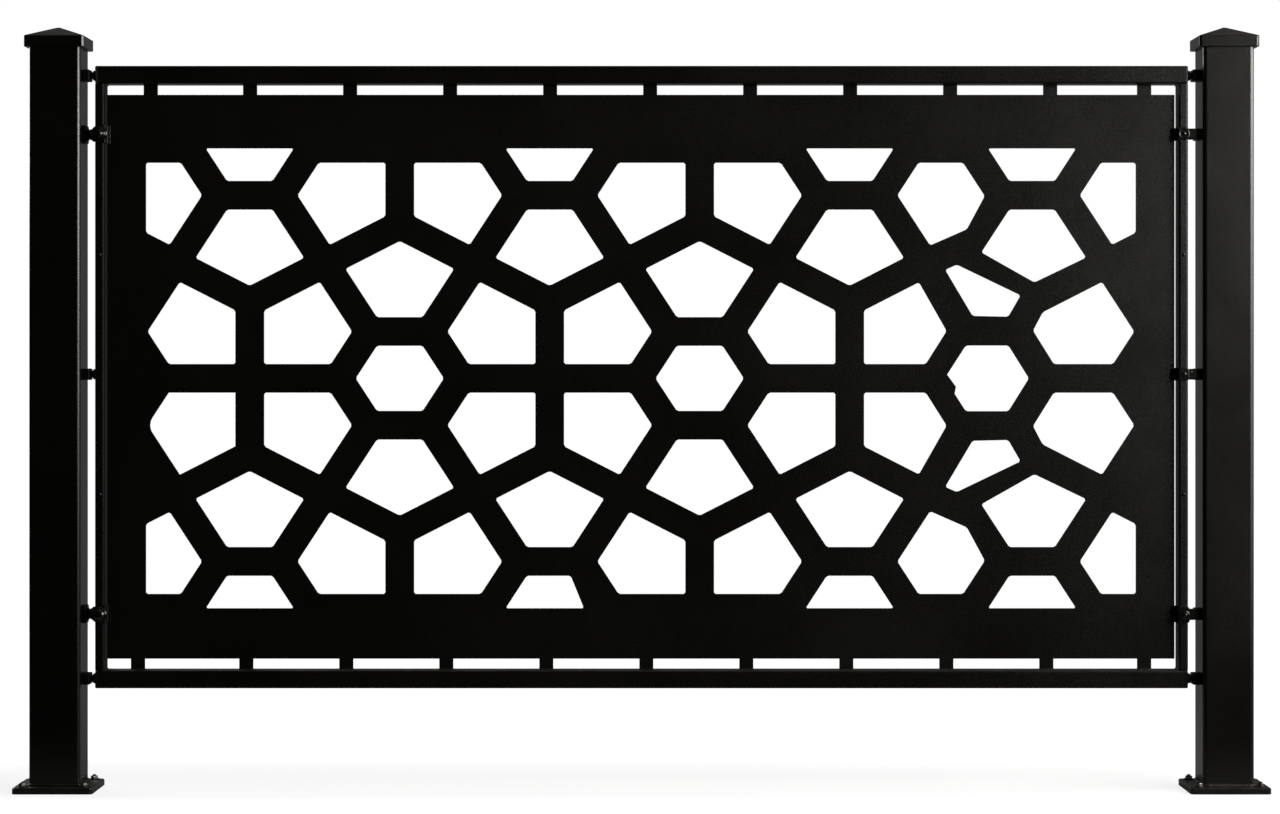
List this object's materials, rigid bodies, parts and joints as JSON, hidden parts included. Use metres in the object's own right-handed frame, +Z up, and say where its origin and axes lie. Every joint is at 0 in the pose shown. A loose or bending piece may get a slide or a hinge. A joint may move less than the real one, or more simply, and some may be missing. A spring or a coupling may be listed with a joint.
{
  "type": "metal fence panel",
  "caption": "Fence bay of black metal: a sheet cut in a tiling of hexagons and pentagons, in a tube frame held by brackets between two capped square posts on bolt-down base plates.",
  "frame": {"origin": "centre of the left base plate's underside, on the ground", "axes": "+X along the fence to the right post, -Y to the front, +Z up"},
  "size_m": [1.955, 0.125, 1.196],
  "materials": {
    "sheet_coat": "satin black powder coat",
    "post_coat": "satin black powder coat",
    "frame_coat": "satin black powder coat",
    "bracket_coat": "satin black powder coat"
  },
  "bodies": {
    "root": {"bottom_rail": "frame_coat", "bottom_rail_left_cap": "frame_coat", "bottom_rail_right_cap": "frame_coat", "infill_sheet": "sheet_coat", "left_base_plate": "post_coat", "left_bottom_bracket": "bracket_coat", "left_lower_bracket": "bracket_coat", "left_lower_clip": "bracket_coat", "left_middle_bracket": "bracket_coat", "left_post": "post_coat", "left_post_cap": "post_coat", "left_stile": "frame_coat", "left_top_bracket": "bracket_coat", "left_upper_bracket": "bracket_coat", "left_upper_clip": "bracket_coat", "right_base_plate": "post_coat", "right_bottom_bracket": "bracket_coat", "right_lower_bracket": "bracket_coat", "right_lower_clip": "bracket_coat", "right_middle_bracket": "bracket_coat", "right_middle_clip": "bracket_coat", "right_post": "post_coat", "right_post_cap": "post_coat", "right_stile": "frame_coat", "right_top_bracket": "bracket_coat", "right_upper_bracket": "bracket_coat", "right_upper_clip": "bracket_coat", "top_rail": "frame_coat", "top_rail_left_cap": "frame_coat", "top_rail_right_cap": "frame_coat"}
  },
  "joints": []
}
